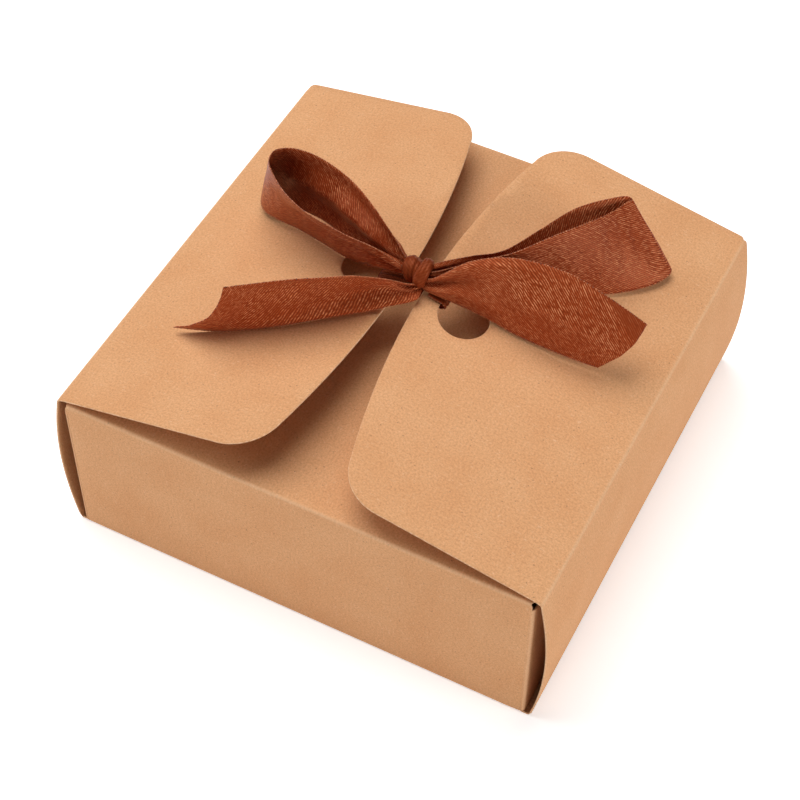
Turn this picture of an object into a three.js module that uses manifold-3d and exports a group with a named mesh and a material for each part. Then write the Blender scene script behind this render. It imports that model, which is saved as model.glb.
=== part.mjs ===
import * as THREE from 'three';
import { mergeVertices } from 'three/addons/utils/BufferGeometryUtils.js';
import Module from 'manifold-3d';

const wasm = await Module();
wasm.setup();

// Card box, in mm; the origin is the middle of the underside, X along the front, Y into the depth
const boxWidth = 150; // between the creases of the two side walls
const boxDepth = 150;
const panelHeight = 55.5; // upper face of the top panel
const cardThickness = 0.5;
const creaseRadius = 1; // outside of a fold in the sleeve
const creaseGap = 0.3; // open line left at a fold that swings
const sleeveInset = 1.6; // front, back and top panels stop this far short of each side wall's crease
const notchRadius = 0.9; // relief nick at each end of the front and back folds
const cutOverrun = 2;
const flapHeight = 14;
const flapInset = 3.4;

// Side walls and wings
const wallShortfall = 0.3; // each end of a side wall, against the depth of the box
const wallBow = 3;
const wingHingeLift = 0.6; // wing hinge above the top panel
const wingTilt = THREE.MathUtils.degToRad(11);
const wingGap = 6.7; // between the free edges where they come closest
const wingEdgeFall = 7; // the free edge curves back this far at the corners
const wingEdgeShift = 6.5; // the curve's furthest point lies this far off the middle
const wingCornerRadius = 14;
const wingHingeInset = 0.7;
const wingCornerInset = 1.2;
const wallTopDrop = 0.55; // upper cut edge of a side wall, below the wing's hinge
const holeSetback = 14; // from the free edge to the middle of the finger hole
const holeRadius = 7.7;
const holeShift = 2.8; // off the middle, to the back on the left wing and to the front on the right one

// Dust tabs
const tabLength = 40;
const tabTaper = 3; // taken off the free end's height, above and below
const tabCornerRadius = 12;
const tabGap = 0.9; // between a tab and the panels above and below it

// Satin ribbon; its heights are taken from the free edges of the wings
const ribbonThickness = 0.4;
const knotCentre = [1.4, -1.2, 4.9];
const knotHalfSize = [4.4, 5.2, 4.2];
const pleatShare = 0.07; // depth of the knot's pleats, of its half size
const knotPleats = 5;
const bandHalfWidth = 3.4;
const bandPath = [ // X and height of the strap that runs under both rims and up through both holes
  [5.5, 1.0], [7.4, 0.3], [9.3, -0.1], [10.7, -0.7], [11.0, -1.7], [9.8, -2.4], [6.2, -1.7], [3.0, -1.3],
  [0, -1.3], [-3.0, -1.3], [-6.2, -1.7], [-9.8, -2.4], [-11.0, -1.7], [-10.7, -0.7], [-9.3, -0.1], [-7.4, 0.3],
  [-4.6, 0.7], [-1.8, 1.0],
];

// Each row is a place along a ribbon: X, Y and height of its lower edge, then of its upper edge
const leftLoopRows = [
  [-3.1, 0.1, 3.2, -2.8, -1.3, 7.2],
  [-9.6, 0.3, 1.3, -6.8, -3.6, 12.0],
  [-16.1, 1.0, -1.0, -11.0, -5.0, 14.9],
  [-25.5, 3.2, -3.5, -18.6, -4.2, 14.4],
  [-33.6, 6.2, -5.1, -27.4, -3.0, 14.5],
  [-44.4, 9.6, -6.9, -36.1, -0.8, 14.3],
  [-51.8, 10.7, -7.5, -43.8, 2.6, 14.8],
  [-57.4, 12.5, -8.0, -50.5, 7.5, 15.4],
  [-60.6, 16.4, -8.0, -53.9, 11.6, 15.7],
  [-60.8, 20.2, -7.7, -54.0, 15.4, 15.9],
  [-57.4, 21.2, -7.4, -50.6, 17.6, 16.5],
  [-52.0, 19.8, -7.0, -45.2, 18.2, 17.0],
  [-46.0, 16.9, -6.4, -38.3, 17.3, 17.2],
  [-38.1, 14.6, -5.0, -28.2, 14.2, 16.8],
  [-27.6, 9.8, -2.9, -19.4, 9.2, 16.6],
  [-16.4, 6.0, 0.2, -11.0, 4.4, 15.0],
  [-7.6, 3.6, 2.7, -5.2, 2.4, 11.6],
  [-2.8, 2.2, 4.0, -2.0, 0.9, 8.2],
];
const rightLoopRows = [
  [5.5, 1.3, 3.0, 5.5, 0.7, 7.3],
  [14.6, 5.6, 0.6, 16.6, 5.6, 12.6],
  [23.6, 10.9, -1.8, 25.4, 9.2, 16.6],
  [37.0, 20.1, -5.0, 33.0, 19.3, 17.6],
  [48.7, 28.1, -7.1, 39.5, 31.6, 15.5],
  [57.2, 36.9, -8.3, 42.6, 41.8, 11.9],
  [60.6, 42.4, -8.6, 44.4, 48.6, 10.6],
  [61.5, 46.2, -8.5, 45.1, 50.7, 10.2],
  [59.8, 48.2, -8.1, 43.8, 50.6, 10.8],
  [55.9, 46.8, -7.5, 40.0, 46.9, 11.6],
  [51.0, 38.8, -6.5, 32.9, 37.8, 12.4],
  [41.4, 28.2, -4.5, 27.4, 22.9, 14.0],
  [28.4, 18.2, -1.5, 21.5, 11.6, 13.4],
  [15.6, 10.6, 1.5, 13.6, 7.4, 11.4],
  [4.7, 3.0, 3.6, 3.9, 2.2, 8.0],
];
const rightTailRows = [
  [5.4, -2.0, 2.2, 6.0, -1.1, 6.6],
  [15.9, -1.0, -0.8, 15.2, 3.8, 13.4],
  [25.2, -0.5, -2.8, 25.3, 7.6, 16.4],
  [32.7, -0.7, -4.3, 35.5, 9.8, 16.5],
  [41.8, -0.1, -5.8, 44.0, 11.0, 15.0],
  [49.3, 0.7, -7.0, 52.2, 11.4, 12.0],
  [53.4, 1.4, -7.7, 59.4, 12.7, 7.6],
  [57.0, 2.1, -8.3, 66.0, 14.0, 3.0],
];
const leftTailRows = [
  [3.2, -5.8, 1.6, 0.8, -6.8, 6.4],
  [-2.0, -9.0, 1.4, -3.0, -12.0, 12.2],
  [-8.1, -14.4, 0.0, -10.6, -18.4, 16.0],
  [-16.1, -20.7, -1.7, -16.4, -23.8, 17.6],
  [-24.4, -26.4, -3.3, -24.7, -28.5, 17.2],
  [-35.4, -32.6, -5.5, -32.6, -32.8, 15.9],
  [-46.3, -36.9, -7.4, -37.6, -35.3, 14.8],
  [-57.1, -40.3, -8.0, -40.9, -37.1, 14.2],
];

const leftLoopBulge = 1.2;
const rightLoopBulge = 1.6;
const leftTailBulge = -3.6;
const leftTailScoop = 3.4; // the cut end is hollow, with its lower corner drawn out
const rightTailBulge = 2.4;
const rightTailEndBulge = 5;
const rightTailRidgeShare = 0.62; // above it the tail bends over backward

// Places that follow from the sizes above
const halfCard = cardThickness / 2;
const hingeX = boxWidth / 2;
const wingHingeHeight = panelHeight + wingHingeLift;
const frontY = boxDepth / 2;
const sleeveHalf = hingeX - sleeveInset;
const innerRadius = creaseRadius - cardThickness;
const wallHingeZ = halfCard;
const wallTopZ = wingHingeHeight - wallTopDrop;
const wingReach = (hingeX - wingGap / 2) / Math.cos(wingTilt);
const rimHeight = wingHingeHeight + wingReach * Math.sin(wingTilt);
const tabX = sleeveHalf - halfCard;
const tabHingeY = frontY - cardThickness - creaseGap - halfCard;
const tabBottomZ = cardThickness + tabGap;
const tabTopZ = panelHeight - cardThickness - tabGap;
const flapBackY = frontY - cardThickness;
const baseBackY = flapBackY - creaseRadius;
const arcSteps = 8;
const edgeSteps = 14;
const holeSteps = 36;
const bowSteps = 20;
const loopStepsPerRow = 4;
const tailStepsPerRow = 5;
const bandStepsPerRow = 3;
const ribbonColumns = 6;
const bandColumns = 4;
const humpPower = 1.8; // how sharply a ribbon's cross-section bends at its ridge
const scoopPower = 6; // how close to the cut end its hollow begins

const group = new THREE.Group();

const kraft = (colour) => new THREE.MeshStandardMaterial({ color: colour, roughness: 0.85, metalness: 0 });
const satin = (colour) => new THREE.MeshStandardMaterial({ color: colour, roughness: 0.42, metalness: 0 });

const place = (name, geometry, material) => {
  const mesh = new THREE.Mesh(geometry, material);
  mesh.name = name;
  group.add(mesh);
};

// Shared corners only, as solids to be joined or cut need them
const welded = (geometry) => {
  const plain = geometry.clone();
  plain.deleteAttribute('normal');
  plain.deleteAttribute('uv');
  return mergeVertices(plain, 1e-5);
};

const toSolid = (geometry) => {
  const joined = welded(geometry);
  return new wasm.Manifold(new wasm.Mesh({
    numProp: 3,
    vertProperties: new Float32Array(joined.attributes.position.array),
    triVerts: new Uint32Array(joined.index.array),
  }));
};

const toGeometry = (solid) => {
  const mesh = solid.getMesh();
  const geometry = new THREE.BufferGeometry();
  geometry.setAttribute('position', new THREE.BufferAttribute(new Float32Array(mesh.vertProperties), 3));
  geometry.setIndex(new THREE.BufferAttribute(new Uint32Array(mesh.triVerts), 1));
  return geometry;
};

const arcPoints = (centreX, centreY, radius, from, to, steps = arcSteps) => {
  const points = [];
  for (let i = 0; i <= steps; i += 1) {
    const angle = from + ((to - from) * i) / steps;
    points.push([centreX + radius * Math.cos(angle), centreY + radius * Math.sin(angle)]);
  }
  return points;
};

const extruded = (points, depth, holes = []) => {
  const shape = new THREE.Shape(points.map(([a, b]) => new THREE.Vector2(a, b)));
  for (const hole of holes) shape.holes.push(new THREE.Path(hole.map(([a, b]) => new THREE.Vector2(a, b))));
  return new THREE.ExtrudeGeometry(shape, { depth, bevelEnabled: false });
};

// A profile drawn in Y and Z, run along X from minus to plus halfLength
const alongX = (points, halfLength) => {
  const geometry = extruded(points, 2 * halfLength);
  geometry.applyMatrix4(new THREE.Matrix4().makeBasis(
    new THREE.Vector3(0, 1, 0), new THREE.Vector3(0, 0, 1), new THREE.Vector3(1, 0, 0)));
  geometry.translate(-halfLength, 0, 0);
  return geometry;
};

// A profile drawn in X and Z, run along Y from minus to plus halfLength
const alongY = (points, halfLength) => {
  const geometry = extruded(points, 2 * halfLength);
  geometry.rotateX(Math.PI / 2);
  geometry.translate(0, halfLength, 0);
  return geometry;
};

const mirroredX = (geometry) => {
  const flipped = welded(geometry);
  flipped.scale(-1, 1, 1);
  const index = flipped.index.array;
  for (let i = 0; i < index.length; i += 3) [index[i], index[i + 1]] = [index[i + 1], index[i]];
  return flipped;
};

const mirroredY = (geometry) => {
  const flipped = welded(geometry);
  flipped.scale(1, -1, 1);
  const index = flipped.index.array;
  for (let i = 0; i < index.length; i += 3) [index[i], index[i + 1]] = [index[i + 1], index[i]];
  return flipped;
};

// Flat panels of the sleeve
const slab = (x0, x1, y0, y1, z0, z1) => {
  const geometry = new THREE.BoxGeometry(x1 - x0, y1 - y0, z1 - z0);
  geometry.translate((x0 + x1) / 2, (y0 + y1) / 2, (z0 + z1) / 2);
  return geometry;
};
const baseHalf = hingeX - halfCard - creaseGap;
const foldY = frontY - creaseRadius;
place('base_panel', slab(-baseHalf, baseHalf, -foldY, baseBackY, 0, cardThickness), kraft('#b98250'));
place('top_panel',
  slab(-sleeveHalf, sleeveHalf, -foldY, foldY, panelHeight - cardThickness, panelHeight), kraft('#b07a4a'));

// Front wall with both of its folds, and the nicks where the folds end
const lowerFold = (radius, from, to) => arcPoints(-foldY, creaseRadius, radius, from, to);
const upperFold = (radius, from, to) => arcPoints(-foldY, panelHeight - creaseRadius, radius, from, to);
const frontProfile = [
  ...upperFold(creaseRadius, Math.PI / 2, Math.PI),
  ...lowerFold(creaseRadius, Math.PI, 1.5 * Math.PI),
  ...lowerFold(innerRadius, 1.5 * Math.PI, Math.PI),
  ...upperFold(innerRadius, Math.PI, Math.PI / 2),
];
const nick = (x, y, z, leanY) => {
  const geometry = new THREE.CylinderGeometry(notchRadius, notchRadius, 2 * cutOverrun, 24);
  geometry.rotateX(leanY * Math.PI / 4);
  geometry.translate(x, y, z);
  return toSolid(geometry);
};
const cutNicks = (geometry, places, leanY) => {
  let solid = toSolid(geometry);
  for (const [y, z] of places) {
    for (const x of [-sleeveHalf, sleeveHalf]) solid = solid.subtract(nick(x, y, z, leanY));
  }
  return toGeometry(solid);
};
place('front_wall', cutNicks(alongX(frontProfile, sleeveHalf), [[-frontY, panelHeight]], 1), kraft('#c08b5c'));

// Back wall stops at the base, where the glue flap stands up inside it
const backProfile = [
  ...upperFold(creaseRadius, Math.PI / 2, Math.PI),
  [-frontY, creaseGap],
  [-frontY + cardThickness, creaseGap],
  ...upperFold(innerRadius, Math.PI, Math.PI / 2),
];
place('back_wall', mirroredY(cutNicks(alongX(backProfile, sleeveHalf), [[-frontY, panelHeight]], 1)),
  kraft('#b98250'));
const flapProfile = [
  ...arcPoints(baseBackY, creaseRadius, creaseRadius, -Math.PI / 2, 0),
  [flapBackY, flapHeight],
  [flapBackY - cardThickness, flapHeight],
  ...arcPoints(baseBackY, creaseRadius, innerRadius, 0, -Math.PI / 2),
];
place('glue_flap', alongX(flapProfile, sleeveHalf - flapInset), kraft('#ab7443'));

// Side wall: a strip that bows outward between its hinge and its upper cut edge
const wallChord = wallTopZ - wallHingeZ;
const bowRadius = (wallChord * wallChord / 4 + wallBow * wallBow) / (2 * wallBow);
const bowHalfAngle = Math.asin(wallChord / (2 * bowRadius));
const bowCentreX = hingeX + wallBow - bowRadius;
const bowCentreZ = (wallHingeZ + wallTopZ) / 2;
const wallProfile = [
  ...arcPoints(bowCentreX, bowCentreZ, bowRadius + halfCard, -bowHalfAngle, bowHalfAngle, bowSteps),
  ...arcPoints(bowCentreX, bowCentreZ, bowRadius - halfCard, bowHalfAngle, -bowHalfAngle, bowSteps),
  ...arcPoints(hingeX, wallHingeZ, halfCard, Math.PI - bowHalfAngle, 2 * Math.PI - bowHalfAngle).slice(1, -1),
];
const rightWall = alongY(wallProfile, frontY - wallShortfall);
place('right_wall', rightWall, kraft('#d29b6c'));
place('left_wall', mirroredX(rightWall), kraft('#c48d5e'));

// Wing: drawn flat as reach from the hinge against depth, then tilted about the hinge
const shoulderY = frontY - wingCornerInset - wingCornerRadius;
const edgeFallOff = wingEdgeFall / (shoulderY * shoulderY);
const edgeAt = (y) => wingReach - edgeFallOff * (y + wingEdgeShift) ** 2;
const cornerArc = (side) => {
  // the rounded corner touches the curved free edge where both have the same slope
  const centreY = side * shoulderY;
  let touchY = centreY;
  let slope = 0;
  for (let i = 0; i < 6; i += 1) {
    slope = Math.atan(2 * edgeFallOff * (touchY + wingEdgeShift));
    touchY = centreY + wingCornerRadius * Math.sin(slope);
  }
  const centreX = edgeAt(touchY) - wingCornerRadius * Math.cos(slope);
  return arcPoints(centreX, centreY, wingCornerRadius, slope, side * Math.PI / 2);
};
const wingOutline = () => {
  const backArc = cornerArc(1);
  const frontArc = cornerArc(-1).reverse();
  const from = frontArc[frontArc.length - 1][1];
  const to = backArc[0][1];
  const edge = [];
  for (let i = 1; i < edgeSteps; i += 1) {
    const y = from + ((to - from) * i) / edgeSteps;
    edge.push([edgeAt(y), y]);
  }
  return [[0, wingHingeInset - frontY], ...frontArc, ...edge, ...backArc, [0, frontY - wingHingeInset]];
};
const fingerHole = arcPoints(wingReach - holeSetback, holeShift, holeRadius, 0, 2 * Math.PI, holeSteps).slice(1);
const wingPlate = extruded(wingOutline(), cardThickness, [fingerHole]);
wingPlate.translate(0, 0, -halfCard);
const wingRoll = new THREE.CylinderGeometry(halfCard, halfCard, 2 * (frontY - wingHingeInset), 16);
const leftWing = toGeometry(toSolid(wingPlate).add(toSolid(wingRoll)));
leftWing.rotateY(-wingTilt);
leftWing.translate(-hingeX, 0, wingHingeHeight);
place('left_wing', leftWing, kraft('#d9a475'));
const rightWing = leftWing.clone();
rightWing.rotateZ(Math.PI);
place('right_wing', rightWing, kraft('#dfa979'));

// Dust tab: drawn as depth from its hinge against height, with its hinge edge rolled
const tabProfile = () => {
  const free = tabLength - tabCornerRadius;
  const low = tabBottomZ + tabTaper;
  const high = tabTopZ - tabTaper;
  return [
    [0, tabBottomZ],
    [free, low],
    ...arcPoints(free, low + tabCornerRadius, tabCornerRadius, -Math.PI / 2, 0).slice(1),
    ...arcPoints(free, high - tabCornerRadius, tabCornerRadius, 0, Math.PI / 2),
    [0, tabTopZ],
  ];
};
const tabPlate = extruded(tabProfile(), cardThickness);
tabPlate.applyMatrix4(new THREE.Matrix4().makeBasis(
  new THREE.Vector3(0, 1, 0), new THREE.Vector3(0, 0, 1), new THREE.Vector3(1, 0, 0)));
tabPlate.translate(-halfCard, 0, 0);
const tabRoll = new THREE.CylinderGeometry(halfCard, halfCard, tabTopZ - tabBottomZ, 16);
tabRoll.rotateX(Math.PI / 2);
tabRoll.translate(0, 0, (tabBottomZ + tabTopZ) / 2);
const frontRightTab = toGeometry(toSolid(tabPlate).add(toSolid(tabRoll)));
frontRightTab.translate(tabX, -tabHingeY, 0);
place('front_right_dust_tab', frontRightTab, kraft('#9c683c'));
place('front_left_dust_tab', mirroredX(frontRightTab), kraft('#9c683c'));
place('back_right_dust_tab', mirroredY(frontRightTab), kraft('#9c683c'));
place('back_left_dust_tab', mirroredX(mirroredY(frontRightTab)), kraft('#9c683c'));

// A ribbon is a grid of points, thickened to both sides of its middle surface
const thickened = (grid) => {
  const rows = grid.length;
  const columns = grid[0].length;
  const at = (i, j) => grid[Math.min(Math.max(i, 0), rows - 1)][Math.min(Math.max(j, 0), columns - 1)];
  const points = [];
  for (const side of [1, -1]) {
    for (let i = 0; i < rows; i += 1) {
      for (let j = 0; j < columns; j += 1) {
        const along = at(i + 1, j).clone().sub(at(i - 1, j));
        const across = at(i, j + 1).clone().sub(at(i, j - 1));
        const normal = along.cross(across).normalize();
        points.push(grid[i][j].clone().addScaledVector(normal, side * ribbonThickness / 2));
      }
    }
  }
  const front = (i, j) => i * columns + j;
  const back = (i, j) => rows * columns + front(i, j);
  const faces = [];
  const quad = (a, b, c, d) => faces.push(a, b, c, a, c, d);
  for (let i = 0; i < rows - 1; i += 1) {
    for (let j = 0; j < columns - 1; j += 1) {
      quad(front(i, j), front(i + 1, j), front(i + 1, j + 1), front(i, j + 1));
      quad(back(i, j), back(i, j + 1), back(i + 1, j + 1), back(i + 1, j));
    }
    const last = columns - 1;
    quad(front(i, 0), back(i, 0), back(i + 1, 0), front(i + 1, 0));
    quad(front(i, last), front(i + 1, last), back(i + 1, last), back(i, last));
  }
  for (let j = 0; j < columns - 1; j += 1) {
    const last = rows - 1;
    quad(front(0, j), front(0, j + 1), back(0, j + 1), back(0, j));
    quad(front(last, j), back(last, j), back(last, j + 1), front(last, j + 1));
  }
  const geometry = new THREE.BufferGeometry();
  geometry.setAttribute('position', new THREE.Float32BufferAttribute(points.flatMap((p) => [p.x, p.y, p.z]), 3));
  geometry.setIndex(faces);
  return geometry;
};

// The two edges are smooth curves through the rows, and the middle stands off their chord by the bulge,
// which a loop loses at the knot and at its end fold, and a tail only at the knot
const ribbonGrid = (ribbon, stepsPerRow, columns) => {
  const { rows, bulge = 0, endBulge = bulge, ridge = 0.5, scoop = 0, isTail = false } = ribbon;
  const edge = (start) => new THREE.CatmullRomCurve3(
    rows.map((row) => new THREE.Vector3(row[start], row[start + 1], rimHeight + row[start + 2])), false, 'centripetal');
  const lower = edge(0);
  const upper = edge(3);
  const steps = (rows.length - 1) * stepsPerRow;
  const grid = [];
  for (let i = 0; i <= steps; i += 1) {
    const share = i / steps;
    const a = lower.getPoint(share);
    const b = upper.getPoint(share);
    const ahead = Math.min(share + 0.5 / steps, 1);
    const behind = Math.max(share - 0.5 / steps, 0);
    const along = lower.getPoint(ahead).add(upper.getPoint(ahead));
    along.sub(lower.getPoint(behind)).sub(upper.getPoint(behind)).normalize();
    const normal = along.clone().cross(b.clone().sub(a)).normalize();
    const tailSwell = Math.min(1, 4 * share) * (bulge + (endBulge - bulge) * share ** 4);
    const swell = isTail ? tailSwell : bulge * Math.sin(2 * Math.PI * share) ** 2;
    const line = [];
    for (let j = 0; j <= columns; j += 1) {
      const across = j / columns;
      const reach = across < ridge ? ridge : 1 - ridge;
      const hump = 1 - (Math.abs(across - ridge) / reach) ** humpPower;
      const spot = a.clone().lerp(b, across).addScaledVector(normal, swell * hump);
      line.push(spot.addScaledVector(along, -scoop * hump * share ** scoopPower));
    }
    grid.push(line);
  }
  return grid;
};
const strip = (ribbon, stepsPerRow, columns) => thickened(ribbonGrid(ribbon, stepsPerRow, columns));
const leftLoop = { rows: leftLoopRows, bulge: leftLoopBulge };
const rightLoop = { rows: rightLoopRows, bulge: rightLoopBulge };
const leftTail = { rows: leftTailRows, bulge: leftTailBulge, scoop: leftTailScoop, isTail: true };
const rightTail = {
  rows: rightTailRows,
  bulge: rightTailBulge,
  endBulge: rightTailEndBulge,
  ridge: rightTailRidgeShare,
  isTail: true,
};
place('left_loop', strip(leftLoop, loopStepsPerRow, ribbonColumns), satin('#8a3f22'));
place('right_loop', strip(rightLoop, loopStepsPerRow, ribbonColumns), satin('#95472a'));
place('left_tail', strip(leftTail, tailStepsPerRow, ribbonColumns), satin('#85401f'));
place('right_tail', strip(rightTail, tailStepsPerRow, ribbonColumns), satin('#9c4c2c'));

// Strap under the knot: down the right hole, below both rims and up the left hole
const bandTurn = Math.max(...bandPath.map(([x]) => x));
const bandRows = bandPath.map(([x, height]) => {
  const y = -holeShift * (x / bandTurn);
  return [x, y - bandHalfWidth, height, x, y + bandHalfWidth, height];
});
place('ribbon_band', strip({ rows: bandRows }, bandStepsPerRow, bandColumns), satin('#6f2d16'));

// Knot: a rounded body with pleats that run round it from the front to the back
const knot = new THREE.SphereGeometry(1, 40, 24);
const spots = knot.attributes.position;
for (let i = 0; i < spots.count; i += 1) {
  const point = new THREE.Vector3(spots.getX(i), spots.getY(i), spots.getZ(i));
  const turn = point.x * knotPleats + 0.8 * point.y;
  const girth = Math.sqrt(Math.max(0, 1 - point.x * point.x));
  point.multiplyScalar(1 - pleatShare * girth * (0.5 + 0.5 * Math.sin(turn * Math.PI / 2)));
  spots.setXYZ(i, point.x, point.y, point.z);
}
knot.scale(...knotHalfSize);
knot.translate(knotCentre[0], knotCentre[1], rimHeight + knotCentre[2]);
place('ribbon_knot', welded(knot), satin('#8f4327'));

export default group;
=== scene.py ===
import math

import bpy
import numpy as np
from mathutils import Matrix, Vector
from mathutils.geometry import delaunay_2d_cdt


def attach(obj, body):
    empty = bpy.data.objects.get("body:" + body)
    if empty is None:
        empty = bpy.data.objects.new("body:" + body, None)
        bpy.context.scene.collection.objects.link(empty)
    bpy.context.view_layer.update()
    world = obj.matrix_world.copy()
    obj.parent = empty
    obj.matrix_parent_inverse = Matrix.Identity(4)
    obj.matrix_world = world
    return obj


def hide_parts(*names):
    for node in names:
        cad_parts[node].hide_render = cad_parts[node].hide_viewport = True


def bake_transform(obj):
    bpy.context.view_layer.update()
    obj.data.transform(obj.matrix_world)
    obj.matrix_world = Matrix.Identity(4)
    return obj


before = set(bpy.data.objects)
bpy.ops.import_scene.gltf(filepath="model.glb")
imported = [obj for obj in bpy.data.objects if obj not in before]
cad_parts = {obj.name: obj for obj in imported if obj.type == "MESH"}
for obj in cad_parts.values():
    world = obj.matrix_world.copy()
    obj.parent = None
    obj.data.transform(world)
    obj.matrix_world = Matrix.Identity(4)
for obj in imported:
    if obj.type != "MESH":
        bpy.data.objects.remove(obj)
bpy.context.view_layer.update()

mm = 0.001


def linearColour(hexText, tint=1.0):
    # sRGB hex to the linear values that the shaders work in
    values = [int(hexText[i:i + 2], 16) / 255 for i in (1, 3, 5)]
    linear = [v / 12.92 if v <= 0.04045 else ((v + 0.055) / 1.055) ** 2.4 for v in values]
    return [v * tint for v in linear] + [1.0]


def addNode(tree, kind, settings=None, inputs=None):
    # one shader node with its settings; each input takes a value or another node's output
    node = tree.nodes.new("ShaderNode" + kind)
    for key, value in (settings or {}).items():
        setattr(node, key, value)
    for key, value in (inputs or {}).items():
        if isinstance(value, bpy.types.NodeSocket):
            tree.links.new(value, node.inputs[key])
        else:
            node.inputs[key].default_value = value
    return node


def mathOf(tree, operation, *values):
    return addNode(tree, "Math", {"operation": operation}, dict(enumerate(values))).outputs["Value"]


def shareOf(tree, value, low, high, least=0.0, most=1.0):
    # where a value lies between low and high, as a share from least to most
    inputs = {"Value": value, "From Min": low, "From Max": high, "To Min": least, "To Max": most}
    return addNode(tree, "MapRange", {"clamp": True}, inputs).outputs["Result"]


def noiseOf(tree, place, scale, detail, roughness=0.5, distortion=0.0):
    inputs = {"Vector": place, "Scale": scale, "Detail": detail, "Roughness": roughness,
              "Distortion": distortion}
    return addNode(tree, "TexNoise", None, inputs).outputs["Fac"]


def colourMix(tree, share, first, second):
    inputs = {"Factor": share, "A": first, "B": second}
    return addNode(tree, "Mix", {"data_type": "RGBA"}, inputs).outputs["Result"]


def twoColours(tree, value, low, lowColour, high, highColour):
    # one colour up to low, the other from high on
    node = addNode(tree, "ValToRGB", None, {"Fac": value})
    for stop, place, colour in zip(node.color_ramp.elements, (low, high), (lowColour, highColour)):
        stop.position = place
        stop.color = colour
    return node.outputs["Color"]


def bumpOf(tree, height, strength, depth):
    inputs = {"Height": height, "Strength": strength, "Distance": depth}
    return addNode(tree, "Bump", None, inputs).outputs["Normal"]


def newMaterial(name):
    # an empty material, its node tree and the place on the flat sheet in metres
    material = bpy.data.materials.new(name)
    material.use_nodes = True
    tree = material.node_tree
    tree.nodes.clear()
    return material, tree, addNode(tree, "TexCoord").outputs["UV"]


def setSurface(tree, inputs):
    shader = addNode(tree, "BsdfPrincipled", None, inputs)
    addNode(tree, "OutputMaterial", None, {"Surface": shader.outputs["BSDF"]})


kraftLook = {
    "light": "#EFB684",
    "mid": "#E9AC79",
    "dark": "#BC7C4A",
    "fleck": "#8C5C36",
    "paleFibre": "#F6CFA8",
    "foldHighlight": "#F8D3AC",  # painted highlight along a fold, lighter than the board
    "darkShare": 0.72,  # how strongly the grain, the flecks and the pale fibres show
    "fleckShare": 0.7,
    "paleShare": 0.5,
    "cloudMm": 17.0,  # soft lighter and darker areas of the pulp
    "grainMm": 0.62,
    "fleckMm": 2.6,
    "fibresPerMm": (0.9, 2.6),  # along and across them: about three times as long as they are wide
    "fibreTurn": 0.5,  # radians from the sheet's edge
    "roughness": (0.75, 0.89),
    "specular": 0.3,
    "relief": 0.14,
    "reliefMm": 0.1,
}


def kraftCard(name, tint=1.0, creaseGlow=0.0, look=kraftLook):
    # kraft carton board, unbleached and uncoated: matt, cloudy, with short fibres and dark flecks
    material, tree, place = newMaterial(name)
    shade = {key: linearColour(look[key], tint)
             for key in ("light", "mid", "dark", "fleck", "paleFibre")}
    # the place is in metres, so a scale of 1000 / mm gives a pattern of that size
    clouds = noiseOf(tree, place, 1000 / look["cloudMm"], 3.0, 0.55)
    grain = noiseOf(tree, place, 1000 / look["grainMm"], 5.0, 0.75)
    lengthwise, crosswise = look["fibresPerMm"]
    turned = addNode(tree, "Mapping", None, {
        "Vector": place, "Scale": (1000 * lengthwise, 1000 * crosswise, 1),
        "Rotation": (0, 0, look["fibreTurn"])})
    fibres = noiseOf(tree, turned.outputs["Vector"], 1.0, 2.0, 0.5, 1.2)
    flecks = addNode(tree, "TexVoronoi", None, {
        "Vector": place, "Scale": 1000 / look["fleckMm"]})
    darkShare = shareOf(tree, grain, 0.40, 0.72, most=look["darkShare"])
    fleckShare = shareOf(tree, flecks.outputs["Distance"], 0.10, 0.02, most=look["fleckShare"])
    paleShare = shareOf(tree, fibres, 0.60, 0.74, most=look["paleShare"])
    colour = twoColours(tree, clouds, 0.30, shade["mid"], 0.68, shade["light"])
    colour = colourMix(tree, darkShare, colour, shade["dark"])
    colour = colourMix(tree, fleckShare, colour, shade["fleck"])
    colour = colourMix(tree, paleShare, colour, shade["paleFibre"])
    # lighter along the folds: a painted highlight where the rounded folds would catch the light
    if creaseGlow:
        nearFold = addNode(tree, "Attribute", {"attribute_name": "crease"}).outputs["Fac"]
        foldHighlightShare = mathOf(tree, "MULTIPLY", nearFold, creaseGlow)
        colour = colourMix(tree, foldHighlightShare, colour, linearColour(look["foldHighlight"]))
    height = mathOf(tree, "ADD", grain, fibres)
    setSurface(tree, {
        "Base Color": colour, "Roughness": shareOf(tree, grain, 0.0, 1.0, *look["roughness"]),
        "Normal": bumpOf(tree, height, look["relief"], look["reliefMm"] * mm),
        "Specular IOR Level": look["specular"]})
    return material


edgeLook = {
    "core": "#D9A273",
    "pale": "#F4C9A0",
    "layerMm": 0.9,
    "roughness": 0.9,
    "specular": 0.25,
    "relief": 0.3,
    "reliefMm": 0.1,
}


def cutCardEdge(name, look=edgeLook):
    # die-cut edge of the board: the pale, layered core shows as a thin light line
    material, tree, place = newMaterial(name)
    layers = noiseOf(tree, place, 1000 / look["layerMm"], 3.0)
    core, pale = linearColour(look["core"]), linearColour(look["pale"])
    setSurface(tree, {
        "Base Color": twoColours(tree, layers, 0.3, core, 0.7, pale),
        "Normal": bumpOf(tree, layers, look["relief"], look["reliefMm"] * mm),
        "Roughness": look["roughness"], "Specular IOR Level": look["specular"]})
    return material


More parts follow.
